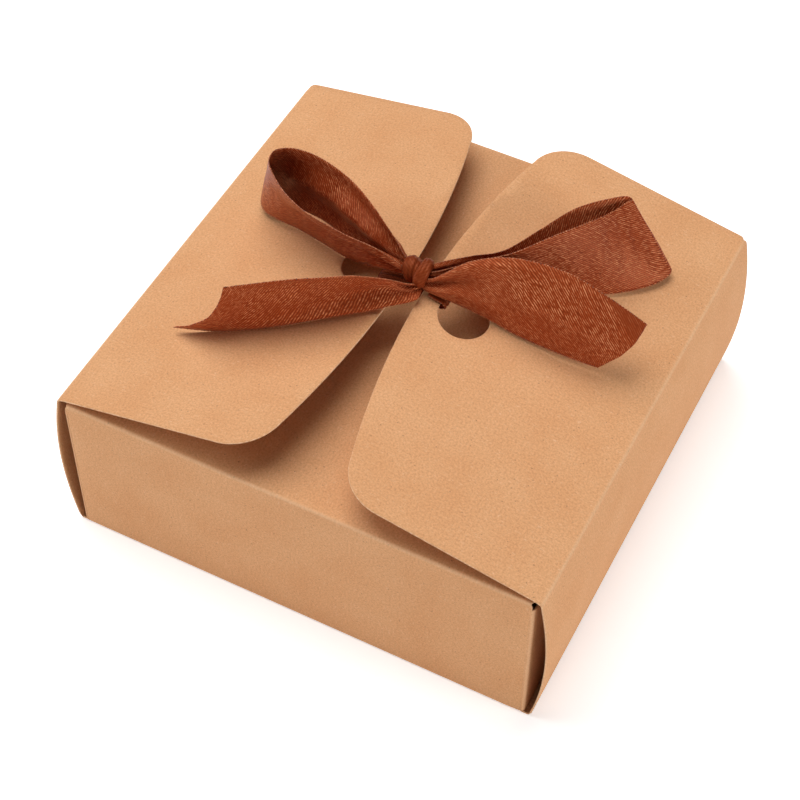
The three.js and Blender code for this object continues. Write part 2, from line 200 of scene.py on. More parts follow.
satinLook = {
    # painted shade in the grooves between the twill lines
    "grooveShade": "#561A09",
    "body": "#A24521",
    # painted highlight on the raised floats
    "floatHighlight": "#EE9E6E",
    "glossTint": "#FF9460",  # dyed polyester gives its shine a warm tint
    "sheenTint": "#D97C48",
    "floatHighlightShare": 0.85,
    "grooveShadeShare": 0.6,
    "twillMm": 0.68,  # spacing of the slanting twill lines; the real threads are finer
    "twillSlope": 1.0,  # how far a line runs along the ribbon while it crosses it
    "floatMm": 1.3,  # length of one bright float on a line
    "floatCrowd": (1.4, 0.8),  # changes of height, and so of painted highlight and painted shade, per float and per line
    "wobbleMm": 1.3,  # how far a line strays from its straight course
    "wobbleScale": 200.0,  # turns of that course per metre
    "patchScale": 90.0,  # areas of stronger and weaker painted highlight, per metre
    "roughness": 0.37,
    "specular": 0.65,
    "anisotropy": 0.5,
    "sheen": 0.12,
    "sheenRoughness": 0.35,
    "relief": 0.8,
    "reliefMm": 0.09,
}


def satinRibbon(name, tint=1.0, gloss=1.0, weave=1.0, look=satinLook):
    # polyester satin: slanting lines of short floats, with a painted highlight on the raised floats and
    # painted shade between the lines; the shine of the surface catches the light where the ribbon turns to it
    material, tree, place = newMaterial(name)
    shade = {key: linearColour(look[key], tint) for key in ("grooveShade", "body", "floatHighlight")}
    # X runs across the ribbon and Y along it
    parts = addNode(tree, "SeparateXYZ", None, {"Vector": place}).outputs
    slanted = mathOf(tree, "MULTIPLY_ADD", parts["X"], look["twillSlope"], parts["Y"])
    wobble = noiseOf(tree, place, look["wobbleScale"], 2.0)
    wobbled = mathOf(tree, "MULTIPLY_ADD", wobble, look["wobbleMm"] * mm, slanted)
    lineSpacing = look["twillMm"] * mm * math.hypot(1, look["twillSlope"])
    wave = mathOf(tree, "SINE", mathOf(tree, "MULTIPLY", wobbled, 2 * math.pi / lineSpacing))
    floatPlace = addNode(tree, "CombineXYZ", None, {"X": parts["X"], "Y": slanted})
    perFloat, perLine = look["floatCrowd"]
    stretched = addNode(tree, "Mapping", None, {
        "Vector": floatPlace.outputs["Vector"],
        "Scale": (1000 * perFloat / look["floatMm"], perLine / lineSpacing, 1)})
    floats = noiseOf(tree, stretched.outputs["Vector"], 1.0, 2.0, 0.6)
    lift = mathOf(tree, "MULTIPLY", shareOf(tree, wave, -0.9, 1.0), shareOf(tree, floats, 0.32, 0.66, 0.1))
    patches = shareOf(tree, noiseOf(tree, place, look["patchScale"], 2.0), 0.3, 0.7, 0.55)
    strength = mathOf(tree, "MULTIPLY", lift, patches)
    # painted shade between the twill lines, painted highlight on the raised floats
    grooveShadeShare = shareOf(tree, lift, 0.3, 0.05, most=look["grooveShadeShare"] * weave)
    floatHighlightShare = shareOf(tree, strength, 0.28, 0.78, most=look["floatHighlightShare"] * gloss * weave)
    colour = colourMix(tree, grooveShadeShare, shade["body"], shade["grooveShade"])
    setSurface(tree, {
        "Base Color": colourMix(tree, floatHighlightShare, colour, shade["floatHighlight"]),
        "Normal": bumpOf(tree, lift, look["relief"] * weave, look["reliefMm"] * mm),
        "Roughness": look["roughness"], "Anisotropic": look["anisotropy"],
        "Specular IOR Level": look["specular"] * gloss,
        "Specular Tint": linearColour(look["glossTint"]),
        "Sheen Weight": look["sheen"], "Sheen Roughness": look["sheenRoughness"],
        "Sheen Tint": linearColour(look["sheenTint"])})
    return material


selvedgeLook = {
    # painted shade and painted highlight on the thread loops
    "dark": "#6E2A12",
    "light": "#DE8E62",
    "threadScale": 900.0,  # threads per metre
    "roughness": 0.4,
    "specular": 0.5,
}


def selvedgeThread(name, look=selvedgeLook):
    # the edge of the ribbon is a tight row of little thread loops; their light specks are painted highlights
    # where the loops would catch the light, their dark specks painted shade
    material, tree, place = newMaterial(name)
    threads = noiseOf(tree, place, look["threadScale"], 2.0)
    dark, light = linearColour(look["dark"]), linearColour(look["light"])
    setSurface(tree, {
        "Base Color": twoColours(tree, threads, 0.35, dark, 0.65, light),
        "Roughness": look["roughness"], "Specular IOR Level": look["specular"]})
    return material


outerCard = kraftCard("Kraft carton board, outside", creaseGlow=0.3)
# the inner faces: the same board, made darker as painted shade for the shade inside the box and under its
# parts
shadedInnerCard = kraftCard("Kraft carton board, inside, painted shade", tint=0.85)
cutEdge = cutCardEdge("Die-cut board edge")
satin = satinRibbon("Brown satin ribbon")
# a darker, duller copy for the part of a ribbon that bends away from the light: painted shade
satinShade = satinRibbon("Brown satin ribbon, reverse", tint=0.8, gloss=0.5, weave=0.5)
# a darker copy for the strap and the knot, which lie in shadow: painted shade; drawn tight the lines are too
# dense to show
satinTightShaded = satinRibbon("Brown satin ribbon, drawn tight, painted shade", tint=0.6, gloss=0.6, weave=0.3)
selvedge = selvedgeThread("Ribbon selvedge loops")
print("materials made")


def newObject(name, data):
    made = bpy.data.objects.new(name, data)
    bpy.context.collection.objects.link(made)
    return made


def newPiece(name, points, uvs, faces, kinds, materials, sharpKind=None):
    # an object from points and flat-sheet places in mm, with one material number for each face
    mesh = bpy.data.meshes.new(name)
    mesh.from_pydata((points * mm).tolist(), [], faces)
    mesh.update()
    mesh.polygons.foreach_set("material_index", kinds)
    mesh.polygons.foreach_set("use_smooth", [kind != sharpKind for kind in kinds])
    for material in materials:
        mesh.materials.append(material)
    corners = np.empty(len(mesh.loops), int)
    mesh.loops.foreach_get("vertex_index", corners)
    layer = mesh.uv_layers.new(name="flat")
    layer.data.foreach_set("uv", (uvs * mm)[corners].ravel())
    return newObject(name, mesh)


card = {
    "width": 150.0, "depth": 150.0, "panelHeight": 55.5, "thickness": 0.5, "creaseRadius": 0.85,
    "sleeveInset": 1.6, "notchRadius": 1.2, "flapHeight": 14.0, "flapInset": 3.4, "flapTaper": 4.0,
    "flapClearance": 0.03, "baseInset": 0.35, "backEdge": 0.3,
    "wallShortfall": 0.3, "wallBow": 3.0, "wallTopDrop": 0.55, "footReach": 0.52, "footRadius": 0.27,
    "wingHingeLift": 0.6, "wingTilt": 11.0, "wingGap": 6.7, "wingFoldRadius": 0.75,
    "wingFoldOut": 0.02,  # the wing's fold lies this far outside and above its hinge
    "wingEdgeFall": 7.0, "wingEdgeShift": 6.5, "wingCornerRadius": 14.0, "wingHingeInset": 0.7,
    "wingCornerInset": 1.2, "holeSetback": 14.0, "holeRadius": 7.7, "holeShift": 2.8,
    "tabLength": 40.0, "tabTaper": 3.0, "tabCornerRadius": 12.0, "tabClearance": 0.3,
    "tabGap": 0.9, "tabGapBelow": 0.54, "tabDrop": 1.3, "tabBend": 1.0, "tabRoot": 1.8,
    "seamShift": 0.05, "seamEdge": 0.35,
    "wingTwist": 1.0,  # how far the corners of the free edges are lifted or lowered
    "wingWave": 0.15,  # slight unevenness of the wings
    "foldCorner": {"front": 0.1, "back": 1.3},  # how far the ends of the wing's fold are rounded off
    "foldHighlightReach": 0.45,  # how far from a fold the painted highlight reaches
    "bevel": 0.09,  # softened arris of a cut edge
    "cell": 3.0,  # spacing of the points inside a panel
    "bendSteps": (-1.6, -1.1, -0.8, -0.5, -0.25, 0, 0.25, 0.5, 0.8, 1.1, 1.6),  # extra points by a fold
}
halfCard = card["thickness"] / 2
hingeX = card["width"] / 2
frontY = card["depth"] / 2
hingeZ = card["panelHeight"] + card["wingHingeLift"]
tilt = math.radians(card["wingTilt"])
wingReach = (hingeX - card["wingGap"] / 2) / math.cos(tilt)
rimHeight = hingeZ + wingReach * math.sin(tilt)


def arc2d(centre, radius, start, end, steps):
    return [(centre[0] + radius * math.cos(angle), centre[1] + radius * math.sin(angle))
            for angle in np.linspace(start, end, steps + 1)]


def spaced(points, gap):
    # the closed outline again with no two neighbours further apart than the gap
    result = []
    for i in range(len(points)):
        a, b = np.array(points[i]), np.array(points[(i + 1) % len(points)])
        steps = max(1, math.ceil(np.linalg.norm(b - a) / gap))
        result += [tuple(a + (b - a) * k / steps) for k in range(steps)]
    return result


def insideOf(point, loop):
    x, y = point
    found = False
    for i in range(len(loop)):
        (x0, y0), (x1, y1) = loop[i - 1], loop[i]
        if (y0 > y) != (y1 > y) and x < x0 + (y - y0) * (x1 - x0) / (y1 - y0):
            found = not found
    return found


def onBoard(point, loops):
    return insideOf(point, loops[0]) and not any(insideOf(point, hole) for hole in loops[1:])


def turnsLeft(loop):
    x, y = np.array(loop).T
    return np.sum(x * np.roll(y, -1) - np.roll(x, -1) * y) > 0


def unit(vectors):
    return vectors / (np.linalg.norm(vectors, axis=-1, keepdims=True) + 1e-12)


def loopNormals(loop, outward):
    loop = np.array(loop)
    step = np.roll(loop, -1, 0) - np.roll(loop, 1, 0)
    side = unit(np.stack([step[:, 1], -step[:, 0]], 1))
    return side * (1 if turnsLeft(loop) == outward else -1)


def leftHanded(place, at):
    # whether the flat drawing's two directions and the outward normal make a left-handed set there
    step = 0.01
    u = np.array([at[0], at[0] + step, at[0]])
    v = np.array([at[1], at[1], at[1] + step])
    middle, normal = place(u, v)
    return np.cross(middle[1] - middle[0], middle[2] - middle[0]) @ normal[0] < 0


def innerPoints(loops, lines, cell, near, lineStep):
    # a grid of points on the board, with extra lines of points by its folds
    edges = np.vstack(loops)
    fineEdges = np.vstack([spaced(loop, 0.4) for loop in loops])
    low, high = edges.min(0), edges.max(0)
    lines = np.array(lines, float)
    us = np.arange(low[0] + cell, high[0], cell)
    us = us[np.min(np.abs(us[:, None] - lines[None, :]), axis=1) > 0.2 * cell]
    us = np.sort(np.concatenate([us, lines]))
    vs = np.arange(low[1] + cell / 2, high[1], cell)
    lineVs = np.arange(low[1] + lineStep / 2, high[1], lineStep) if lineStep else vs
    points = np.array([(u, v) for u in us for v in (lineVs if u in lines else vs)])
    clearance = np.min(np.linalg.norm(points[:, None, :] - fineEdges[None, :, :], axis=2), axis=1)
    return points[(clearance > near) & np.array([onBoard(point, loops) for point in points])]


def boardTriangles(loops, inner):
    # the flat points, the triangles on the board that join them, and each loop's point numbers
    flat = [Vector((float(u), float(v))) for u, v in np.vstack([*loops, inner])]
    rims, start = [], 0
    for loop in loops:
        rims.append(range(start, start + len(loop)))
        start += len(loop)
    edges = [(rim[i], rim[(i + 1) % len(rim)]) for rim in rims for i in range(len(rim))]
    verts, _, faces, origin, _, _ = delaunay_2d_cdt(flat, edges, [], 0, 1e-5)
    position = np.array([[v.x, v.y] for v in verts])
    triangles = []
    for face in faces:
        corners = position[list(face)]
        if onBoard(corners.mean(0), loops):
            triangles.append(tuple(face) if turnsLeft(corners) else tuple(reversed(face)))
    fromInput = {source: i for i, sources in enumerate(origin) for source in sources}
    return position, triangles, [[fromInput[i] for i in rim] for rim in rims]


def cardSheet(name, outline, holes, place, folds, lines=None, gap=2.0, cell=card["cell"], near=0.6,
              lineStep=None):
    # a board blank drawn flat as (u, v) in mm; place(u, v) gives its middle surface and outward normals
    loops = [spaced(loop, gap) for loop in [outline] + holes]
    lines = lines or [fold + step for fold in folds for step in card["bendSteps"]]
    position, triangles, rims = boardTriangles(loops, innerPoints(loops, lines, cell, near, lineStep))
    count = len(position)
    inset = position.copy()
    for k, rim in enumerate(rims):
        inset[rim] = position[rim] - loopNormals(loops[k], k == 0) * card["bevel"]
    middle, normal = place(inset[:, 0], inset[:, 1])
    points, uvs = [middle + normal * halfCard, middle - normal * halfCard], [position, position]
    faces = triangles + [(c + count, b + count, a + count) for a, b, c in triangles]
    kinds = [0] * len(triangles) + [1] * len(triangles)
    upper = 2 * count
    for k, rim in enumerate(rims):
        # the cut edge: a bevel, the edge itself and a bevel
        spots = position[rim]
        middle, normal = place(spots[:, 0], spots[:, 1])
        side = normal * (halfCard - card["bevel"])
        points += [middle + side, middle - side]
        uvs += [spots, spots]
        flip = turnsLeft(spots) == (k == 0)
        lower = upper + len(rim)
        for i in range(len(rim)):
            j = (i + 1) % len(rim)
            quads = ((rim[i], upper + i, upper + j, rim[j]), (upper + i, lower + i, lower + j, upper + j),
                     (lower + i, rim[i] + count, rim[j] + count, lower + j))
            faces += [quad if flip else quad[::-1] for quad in quads]
            kinds += [2, 2, 2]
        upper = lower + len(rim)
    uvs = np.vstack(uvs)
    piece = newPiece(name, np.vstack(points), uvs, faces, kinds, (outerCard, shadedInnerCard, cutEdge), sharpKind=2)
    # where the painted highlight lies: strongest on each fold, fading within its reach
    foldHighlight = sum(np.exp(-((uvs[:, 0] - fold) / card["foldHighlightReach"]) ** 2) for fold in folds)
    piece.data.attributes.new("crease", "FLOAT", "POINT").data.foreach_set("value", np.clip(foldHighlight, 0, 1))
    if leftHanded(place, position[triangles[len(triangles) // 2][0]]):
        piece.data.flip_normals()
    piece.data.validate()
    return piece


def runningLength(line):
    return np.concatenate([[0], np.cumsum(np.linalg.norm(np.diff(line, axis=0), axis=1))])


def curveTable(points):
    # a profile's points and the running length at each
    points = np.array(points, float)
    return points, runningLength(points)


def along(table, u):
    # position and unit tangent on a profile at the running length u, straight on past its ends
    points, length = table
    step = 0.25
    low, high = np.clip(u - step, 0, length[-1]), np.clip(u + step, 0, length[-1])
    dx = np.interp(high, length, points[:, 0]) - np.interp(low, length, points[:, 0])
    dz = np.interp(high, length, points[:, 1]) - np.interp(low, length, points[:, 1])
    size = np.hypot(dx, dz) + 1e-12
    past = np.maximum(u - length[-1], 0) + np.minimum(u, 0)
    x = np.interp(u, length, points[:, 0]) + past * dx / size
    z = np.interp(u, length, points[:, 1]) + past * dz / size
    return x, z, dx / size, dz / size


def filletPath(path, radius, steps=8):
    # a polyline with its inner corners rounded
    result = [path[0]]
    for i in range(1, len(path) - 1):
        a, b, c = (np.array(p, float) for p in path[i - 1:i + 2])
        u, v = (a - b) / np.linalg.norm(a - b), (c - b) / np.linalg.norm(c - b)
        angle = math.acos(np.clip(u @ v, -1, 1))
        sweep = math.pi - angle
        reach = radius / math.tan(angle / 2)
        middle = b + (u + v) / np.linalg.norm(u + v) * radius / math.sin(angle / 2)
        first, last = b + u * reach - middle, b + v * reach - middle
        for k in range(steps + 1):
            t = k / steps
            spot = (math.sin((1 - t) * sweep) * first + math.sin(t * sweep) * last) / math.sin(sweep)
            result.append(tuple(middle + spot))
    result.append(path[-1])
    return result


def lengthAt(table, point):
    # running length at the profile's own point that lies nearest to the given one
    points, length = table
    return float(length[np.argmin(np.linalg.norm(points - np.array(point), axis=1))])


# side wall and wing are one strip of board folded at the wing's crease
wallBottom, wallTop = halfCard, hingeZ - card["wallTopDrop"]
chord = wallTop - wallBottom
bowRadius = (chord * chord / 4 + card["wallBow"] ** 2) / (2 * card["wallBow"])
bowAngle = math.asin(chord / (2 * bowRadius))
bowCentre = (hingeX + card["wallBow"] - bowRadius, (wallBottom + wallTop) / 2)
wallArc = arc2d(bowCentre, bowRadius, -bowAngle, bowAngle, 40)
foldPoint = (hingeX + card["wingFoldOut"], hingeZ + card["wingFoldOut"])
pastWing = 90.0  # further than the free edge
wingEnd = (hingeX - pastWing * math.cos(tilt), hingeZ + pastWing * math.sin(tilt))
wallFoot = [(hingeX - card["footReach"], halfCard), (hingeX, halfCard), wallArc[1]]
footCurl = filletPath(wallFoot, card["footRadius"])
wingFold = filletPath([wallArc[-3], foldPoint, wingEnd], card["wingFoldRadius"])
sideTable = curveTable(footCurl + wallArc[2:-2] + wingFold[1:])
foldRun = lengthAt(sideTable, foldPoint)
shoulderY = frontY - card["wingCornerInset"] - card["wingCornerRadius"]


def freeEdge(y):
    return wingReach - card["wingEdgeFall"] / shoulderY ** 2 * (y + card["wingEdgeShift"]) ** 2


def wingCorner(side):
    # the rounded corner touches the curved free edge where both have the same slope
    touch, slope, radius = side * shoulderY, 0.0, card["wingCornerRadius"]
    for _ in range(6):
        slope = math.atan(2 * card["wingEdgeFall"] / shoulderY ** 2 * (touch + card["wingEdgeShift"]))
        touch = side * shoulderY + radius * math.sin(slope)
    centre = (freeEdge(touch) - radius * math.cos(slope), side * shoulderY)
    return arc2d(centre, radius, slope, side * math.pi / 2, 14)


def foldEnd(rounding):
    # one end of the wall and of the fold as (running length, distance in from the box's front or back)
    wall = [(0.0, card["wallShortfall"]), (foldRun - 2.6, card["wallShortfall"]),
            (foldRun - 1.3, 0.3 * rounding + 0.25), (foldRun - 0.5, 0.6 * rounding + 0.27)]
    edge = [(0.3, rounding), (0.7, 0.45 * rounding), (1.2, 0.15 * rounding), (2.0, 0.0)]
    return wall + [(foldRun + u, inset + card["wingHingeInset"] * min(1, 0.45 + u / 4)) for u, inset in edge]


def sideOutline(sign):
    # u runs from the wall's foot over the fold to the wing's free edge, v to the front on the right side
    back, front = wingCorner(1), wingCorner(-1)[::-1]
    edge = [(freeEdge(y), y) for y in np.linspace(front[-1][1], back[0][1], 24)[1:-1]]
    wing = [(foldRun + u, y) for u, y in front + edge + back]
    first, last = (foldEnd(card["foldCorner"][name]) for name in ("front", "back")[::-sign])
    start, end = [(u, inset - frontY) for u, inset in first], [(u, frontY - inset) for u, inset in last]
    return start + wing + end[::-1]


def fingerHole():
    centre = (foldRun + wingReach - card["holeSetback"], card["holeShift"])
    return arc2d(centre, card["holeRadius"], 0, 2 * math.pi, 44)[:-1]


def placeSide(sign):
    # the right side is the left one turned half round
    def place(u, v):
        x, z, dx, dz = along(sideTable, u)
        nx, nz = dz, -dx
        share = np.clip((u - foldRun - 4) / (wingReach - 4), 0, 1)
        lift = -card["wingTwist"] * share * v / frontY
        lift += card["wingWave"] * share * np.sin(v / 17 + sign) * np.cos((u - foldRun) / 21 + 2 * sign)
        point = np.stack([sign * (x + nx * lift), -sign * v, z + nz * lift], 1)
        return point, np.stack([sign * nx, np.zeros_like(v), nz], 1)
    return place


for sideName, sign in (("left", -1), ("right", 1)):
    piece = cardSheet(sideName + "WallAndWing", sideOutline(sign), [fingerHole()], placeSide(sign), [foldRun])
    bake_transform(piece)
    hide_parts(sideName + "_wall", sideName + "_wing")
print("side walls and wings made")

# the sleeve is one sheet: glue flap, base, front wall, top panel, back wall
panelZ = card["panelHeight"] - halfCard
wallY = frontY - halfCard
flapY = wallY - card["thickness"] - card["flapClearance"]
foldRadius = card["creaseRadius"] - halfCard
sleeveFolds = [(flapY, halfCard), (-wallY, halfCard), (-wallY, panelZ), (wallY, panelZ)]
sleevePath = [(flapY, card["flapHeight"])] + sleeveFolds + [(wallY, card["backEdge"])]
sleeveTable = curveTable(filletPath(sleevePath, foldRadius, 10))
sleeveRuns = [lengthAt(sleeveTable, spot) for spot in sleeveFolds]
flapFold, lowFold, topFold, backFold = sleeveRuns
sleeveHalf = hingeX - card["sleeveInset"]
tabBottom = card["thickness"] + card["tabGapBelow"]
tabTop = card["panelHeight"] - card["thickness"] - card["tabGap"] - card["tabDrop"]
tabSeam = sleeveHalf - halfCard - card["tabBend"] + card["seamShift"]  # a wall ends here and its tab begins


def frontAt(z):
    # running length at a height on the front wall, counted from where its bend ends
    bendEnd = halfCard + foldRadius
    return lengthAt(sleeveTable, (-wallY, bendEnd)) + z - bendEnd


def backAt(z):
    # running length at a height on the back wall
    bendEnd = panelZ - foldRadius
    return lengthAt(sleeveTable, (wallY, bendEnd)) + bendEnd - z


def sleeveOutline():
    # half of the blank as (running length, distance from its middle), then the same mirrored
    seamEdge = tabSeam + card["seamEdge"]
    radius = card["notchRadius"]  # round notches end the top creases; on a wall's side they stop at its tab
    stop = math.asin(min(1, (sleeveHalf - seamEdge) / radius))
    baseHalf = hingeX - card["baseInset"]
    flapHalf = sleeveHalf - card["flapInset"]
    half = [(0.0, flapHalf - card["flapTaper"]), (flapFold - 1.2, flapHalf), (flapFold + 0.2, flapHalf)]
    half += [(flapFold + 1.0, baseHalf), (lowFold - 0.3, baseHalf), (lowFold + 0.1, baseHalf - 0.25)]
    half += [(frontAt(tabBottom - 0.06), tabSeam + 0.9), (frontAt(tabBottom), tabSeam)]
    half += [(frontAt(tabTop), tabSeam), (frontAt(tabTop) + 0.1, seamEdge)]
    half += arc2d((topFold, sleeveHalf), radius, math.pi + stop, 2 * math.pi, 8)
    half += arc2d((backFold, sleeveHalf), radius, math.pi, 2 * math.pi - stop, 8)
    half += [(backAt(tabTop) - 0.1, seamEdge), (backAt(tabTop), tabSeam)]
    half += [(backAt(tabBottom), tabSeam), (backAt(tabBottom) + 0.1, sleeveHalf)]
    half += [(sleeveTable[1][-1], sleeveHalf)]
    return [(u, -v) for u, v in half] + half[::-1]


def placeSleeve(u, v):
    y, z, dy, dz = along(sleeveTable, u)
    return np.stack([v, y, z], 1), np.stack([np.zeros_like(v), -dz, dy], 1)


sleeve = cardSheet("foldedSleeve", sleeveOutline(), [], placeSleeve, sleeveRuns, cell=5.0)
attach(sleeve, "sleeve")
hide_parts("base_panel", "top_panel", "front_wall", "back_wall", "glue_flap")

# dust tabs: each bends off the end of the front or back wall and runs inward behind the side wall
tabX = sleeveHalf - halfCard
tabEndY = wallY - card["thickness"] - card["tabClearance"] - card["tabLength"]
bendCentre = (tabX - card["tabBend"], wallY - card["tabBend"])
tabArc = arc2d(bendCentre, card["tabBend"], math.pi / 2, 0, 10)
tabTable = curveTable([(tabSeam, wallY)] + tabArc + [(tabX, tabEndY)])
tabFolds = [0.8]
tabLines = [0.3, 0.6, 0.9, 1.2, 1.5]


def tabOutline():
    radius, root = card["tabCornerRadius"], card["tabRoot"]
    low, high = tabBottom + card["tabTaper"], tabTop - card["tabTaper"]
    free = float(tabTable[1][-1]) - radius
    return ([(0.0, tabBottom), (root, tabBottom)] + arc2d((free, low + radius), radius, -math.pi / 2, 0, 10)
            + arc2d((free, high - radius), radius, 0, math.pi / 2, 10) + [(root, tabTop), (0.0, tabTop)])


def placeTab(signX, signY):
    def place(u, v):
        x, y, dx, dy = along(tabTable, u)
        normal = np.stack([-signX * dy, signY * dx, np.zeros_like(v)], 1)
        return np.stack([signX * x, signY * y, v], 1), normal
    return place


for depthName, signY in (("front", -1), ("back", 1)):
    for sideName, signX in (("left", -1), ("right", 1)):
        node = depthName + "_" + sideName + "_dust_tab"
        piece = cardSheet(depthName + sideName.capitalize() + "DustTab", tabOutline(), [],
                          placeTab(signX, signY), tabFolds, tabLines, gap=0.8, near=0.2, lineStep=0.6)
        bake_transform(piece)
        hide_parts(node)
print("sleeve and dust tabs made")

ribbon = {
    "width": 25.0, "thickness": 0.3, "edgeShare": 0.35,  # how thick its edges are against its middle
    "beadEvery": 1.0, "beadRadius": 0.23, "beadInset": 0.12,  # small thread loops of the selvedge
    "gatherReach": 24.0, "gatherDepth": 0.7, "gatherFolds": 3,  # folds where a loop enters the knot
    "humpPower": 1.8,  # how sharply the cross-section bends at its ridge
    "ripple": 0.14, "rippleEvery": 11.0, "fineRippleEvery": 5.3,  # soft unevenness along the ribbon
    "bandHalfWidth": 3.0, "bandShift": 0.2, "bandSkew": 0.3, "bandHalfLength": 11.0,
    "bandFolds": 4, "bandFoldDepth": 0.95,
    "doubled": 12.5,  # width of the ribbon folded double lengthwise, as it is in the knot and under it
    "columns": 30, "bandColumns": 24,
}
knot = {
    "centre": (1.1, 0.6, 5.1), "halfDepth": 4.3, "halfHeight": 3.9, "coreHalfWidth": 3.9,
    "topHalfWidth": 4.4, "bottomHalfWidth": 1.5, "topShift": -0.6, "bottomShift": 0.9,
    "turn": (-78, 238),  # degrees round the knot, from low in front over the top and down behind
    # cross-section of the wrap: share of the knot's width, and mm inward; it passes under its own right part
    # and comes back over it as a narrow fold
    "section": [(0.0, 1.6), (0.03, 0.8), (0.12, 0.25), (0.24, 0.3), (0.36, 0.55), (0.46, 0.9), (0.56, 1.25),
                (0.7, 1.4), (0.86, 1.35), (0.96, 1.1), (1.0, 0.6), (0.97, 0.1), (0.88, -0.2), (0.76, -0.3),
                (0.65, -0.25), (0.58, -0.05), (0.555, 0.3), (0.56, 0.6)],
    "sectionFold": 0.56,  # where that fold begins in the cross-section
    "foldShares": (0.30, 0.62),  # where it lies on the knot, low in front and on top
    "creases": 7, "creaseDepth": 0.13, "waveDepth": 0.12,
}

# X, Y and height over the wings' free edges, in mm: of a ribbon's lower edge, then of its upper edge
leftLoopRows = [
    (-0.2, -0.8, 3.6, -0.4, -1.4, 6.4), (-3.1, 0.1, 3.2, -2.8, -1.3, 7.2),
    (-9.6, 0.3, 1.3, -6.8, -3.6, 12.0), (-16.1, 1.0, -1.0, -11.0, -5.0, 14.9),
    (-25.6, 3.4, -3.75, -18.6, -4.2, 14.4), (-33.7, 6.4, -5.35, -27.4, -3.0, 14.5),
    (-44.6, 9.9, -7.3, -36.1, -0.8, 14.3), (-51.8, 10.7, -7.5, -43.8, 2.6, 14.8),
    (-57.4, 12.5, -8.0, -50.5, 7.5, 15.4), (-60.6, 16.4, -8.0, -53.9, 11.6, 15.7),
    (-60.8, 20.2, -7.7, -54.0, 15.4, 15.9), (-57.4, 20.4, -8.4, -50.6, 17.6, 16.5),
    (-52.0, 18.6, -8.2, -45.2, 18.2, 17.0), (-46.0, 16.7, -6.6, -38.3, 17.3, 17.2),
    (-38.1, 14.2, -4.6, -28.2, 14.2, 16.8), (-27.6, 9.8, -2.9, -19.4, 9.2, 16.6),
    (-16.4, 5.2, 0.2, -11.6, 4.4, 15.0), (-8.2, 2.8, 2.7, -6.8, 2.4, 11.6),
    (-4.0, 1.4, 4.0, -3.9, 1.2, 8.8), (-0.2, 0.6, 4.2, 0.0, 0.2, 7.0),
]
rightLoopRows = [
    (2.8, 0.0, 3.4, 2.8, -0.2, 6.8), (5.5, 1.3, 3.0, 5.5, 0.7, 7.3), (14.6, 5.6, 0.6, 16.6, 5.6, 12.6),
    (23.6, 10.9, -1.8, 25.4, 9.2, 16.6), (37.0, 20.1, -5.0, 33.0, 19.3, 17.6),
    (48.7, 28.1, -7.1, 39.5, 31.6, 15.5), (57.2, 36.9, -8.3, 42.6, 41.8, 11.9),
    (60.6, 42.4, -8.6, 44.4, 48.6, 10.6), (61.5, 46.2, -8.5, 45.1, 50.7, 10.2),
    (59.8, 48.2, -8.1, 43.8, 50.6, 10.8), (55.9, 46.8, -7.5, 40.0, 46.9, 11.6),
    (51.0, 38.8, -6.5, 32.9, 37.8, 12.4), (41.4, 28.2, -4.5, 27.4, 22.9, 14.0),
    (28.4, 18.2, -1.5, 21.5, 11.6, 13.4), (15.6, 10.6, 1.5, 13.6, 7.4, 11.4),
    (4.7, 3.0, 3.6, 3.9, 2.2, 8.0), (2.2, 0.6, 3.6, 2.2, 0.2, 7.0),
]
rightTailRows = [
    (2.4, -2.0, 2.6, 2.6, -1.6, 6.0), (5.4, -2.2, 1.8, 5.8, -1.3, 6.6), (15.9, -1.0, -0.8, 15.2, 3.8, 13.4),
    (25.2, -0.5, -2.8, 25.3, 7.6, 16.4), (32.7, -0.7, -4.3, 35.5, 9.8, 16.5),
    (41.8, -0.1, -5.8, 44.0, 11.0, 15.0), (49.3, 0.7, -7.0, 52.2, 11.4, 12.0),
    (53.4, 1.4, -7.7, 59.4, 12.7, 7.6), (57.0, 2.1, -8.3, 66.0, 14.0, 3.0),
]
leftTailRows = [
    (3.4, -3.0, 2.0, 2.6, -3.0, 4.4), (2.8, -5.8, 1.0, 0.8, -5.6, 6.0),
    (-2.4, -10.6, 1.0, -3.0, -12.0, 12.2), (-8.4, -15.4, -0.3, -10.6, -18.4, 16.0),
    (-16.2, -20.5, -1.95, -16.4, -23.8, 17.6), (-24.5, -26.2, -3.55, -24.7, -28.5, 17.2),
    (-35.5, -32.4, -5.7, -32.6, -32.8, 15.9), (-46.5, -36.6, -7.8, -37.6, -35.3, 14.8),
    (-57.1, -40.3, -8.0, -40.9, -37.1, 14.2),
]
# X and height of the strap: down the right hole, under the knot and up the left hole
bandRight = [
    (5.5, 1.0), (7.4, 0.3), (9.3, -0.1), (10.7, -0.7), (11.0, -1.7), (9.8, -2.4), (6.2, -1.7), (3.0, -1.3),
]
bandLeft = [(-x, height) for x, height in bandRight[:0:-1]]
bandPath = bandRight + [(0, -1.3)] + bandLeft + [(-4.6, 0.7), (-1.8, 1.0)]


def smoothCurve(points, count):
    # centripetal curve through the points, with the same number of steps between neighbours
    points = np.array(points, float)
    ends = np.vstack([2 * points[0] - points[1], points, 2 * points[-1] - points[-2]])
    result = []
    for share in np.linspace(0, len(points) - 1, count):
        i = min(int(share), len(points) - 2)
        t = share - i
        p0, p1, p2, p3 = ends[i:i + 4]
        k0, k1, k2 = (max(np.linalg.norm(b - a), 1e-6) ** 0.5 for a, b in ((p0, p1), (p1, p2), (p2, p3)))
        m1 = (p1 - p0) / k0 - (p2 - p0) / (k0 + k1) + (p2 - p1) / k1
        m2 = (p2 - p1) / k1 - (p3 - p1) / (k1 + k2) + (p3 - p2) / k2
        result.append(between(p1, p2, t * t * (3 - 2 * t)) + k1 * t * (1 - t) * ((1 - t) * m1 - t * m2))
    return np.array(result)


def pointAt(line, lengths, spot):
    return np.array([np.interp(spot, lengths, line[:, k]) for k in range(3)])


def between(low, high, share):
    return low + (high - low) * share


